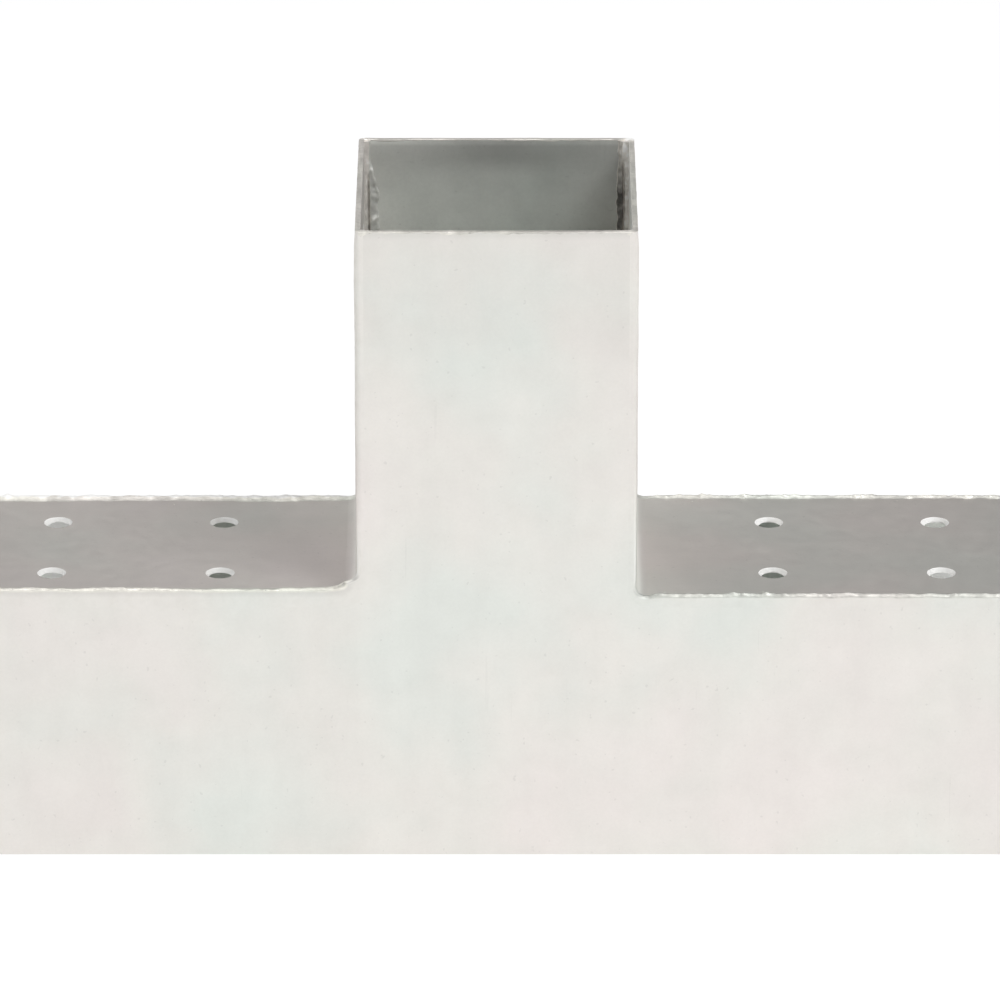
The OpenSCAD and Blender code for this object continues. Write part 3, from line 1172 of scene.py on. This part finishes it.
def floor_material():
    """Pale grey for the light that it sends back, and white with the object's shadow where it is seen."""
    material, n = new_material("floor_white")
    rays = n.add("ShaderNodeLightPath").outputs
    seen = n.math("MAXIMUM", rays["Is Camera Ray"], rays["Is Glossy Ray"])
    seen = n.math("MAXIMUM", seen, rays["Is Transmission Ray"])
    matt = n.feed(n.add("ShaderNodeBsdfDiffuse"), Color=FLOOR_GREY)
    shade = n.feed(n.add("ShaderNodeBsdfDiffuse"), Color=SEEN_GREY)
    glow = n.feed(n.add("ShaderNodeEmission"), Color=(1, 1, 1, 1), Strength=FLOOR_GLOW)
    white = n.add("ShaderNodeAddShader")
    n.link(shade.outputs[0], white.inputs[0])
    n.link(glow.outputs[0], white.inputs[1])
    choice = n.add("ShaderNodeMixShader")
    for socket, source in zip(choice.inputs, (seen, matt.outputs[0], white.outputs[0])):
        n.link(source, socket)
    n.link(choice.outputs[0], n.add("ShaderNodeOutputMaterial").inputs["Surface"])
    return material


def make_floor():
    """A pale square floor under the object."""
    mesh = bpy.data.meshes.new("floor")
    signs = ((-1, -1), (1, -1), (1, 1), (-1, 1))
    mesh.from_pydata([(x * FLOOR_HALF, y * FLOOR_HALF, 0) for x, y in signs], [], [(0, 1, 2, 3)])
    floor = new_object("floor", mesh)
    floor.location.z = -FLOOR_DROP
    floor.data.materials.append(floor_material())


def make_camera():
    data = bpy.data.cameras.new("camera")
    data.lens = CAMERA_LENS
    data.sensor_width = SENSOR_WIDTH
    data.clip_end = CLIP_END
    camera = new_object("camera", data)
    camera.location = (CAMERA_SIDE, -SLEEVE_HALF * MM - CAMERA_DISTANCE, CAMERA_HEIGHT)
    camera.rotation_euler = (math.radians(90 - CAMERA_PITCH), 0, 0)
    bpy.context.scene.camera = camera


# Starts of the random draws and the noise of the pieces that have no look of their own
SEEDS = {
    "bottom_front_seam": 131, "bottom_rear_seam": 137, "rim": 91, "ends": 97, "collars": 100,
    "front_spatter": 200, "rear_spatter": 300,
}

# How many spots of spatter are drawn beside each arm's front and rear seam
FRONT_SPATTER = 12
REAR_SPATTER = 4

finish_cad_nodes()

for side, side_name in ((-1, "left"), (1, "right")):
    for face, face_name in ((-1, "front"), (1, "rear")):
        make_seam(f"{side_name}_{face_name}_seam", side, face)
        make_inner_weld(f"{side_name}_{face_name}_fillet", side, face)
    make_lip(side_name + "_end_zinc", end_point(side), SEEDS["ends"] + side, END_TONE)
    spots = spatter_spots(side, -1, FRONT_SPATTER, SEEDS["front_spatter"] + side)
    spots += spatter_spots(side, 1, REAR_SPATTER, SEEDS["rear_spatter"] + side)
    make_spatter(side_name + "_spatter", spots)

for face, name in ((-1, "bottom_front_seam"), (1, "bottom_rear_seam")):
    make_bottom_weld(name, face, SEEDS[name])

# The rim's skin takes painted shade over its highlights
make_lip("rim_zinc", rim_point, SEEDS["rim"], RIM_TONE, RIM_DRIPS)

for i, (mount, centre, axis, radius) in enumerate(hole_places()):
    make_collar(f"{mount}_zinc_{i % 4 + 1}", centre, axis, radius, SEEDS["collars"] + i)

make_world()
make_floor()
make_camera()
for name, (place, size, power) in SOFTBOXES.items():
    add_softbox(name, place, size, power)

bpy.context.scene.view_settings.view_transform = "Standard"
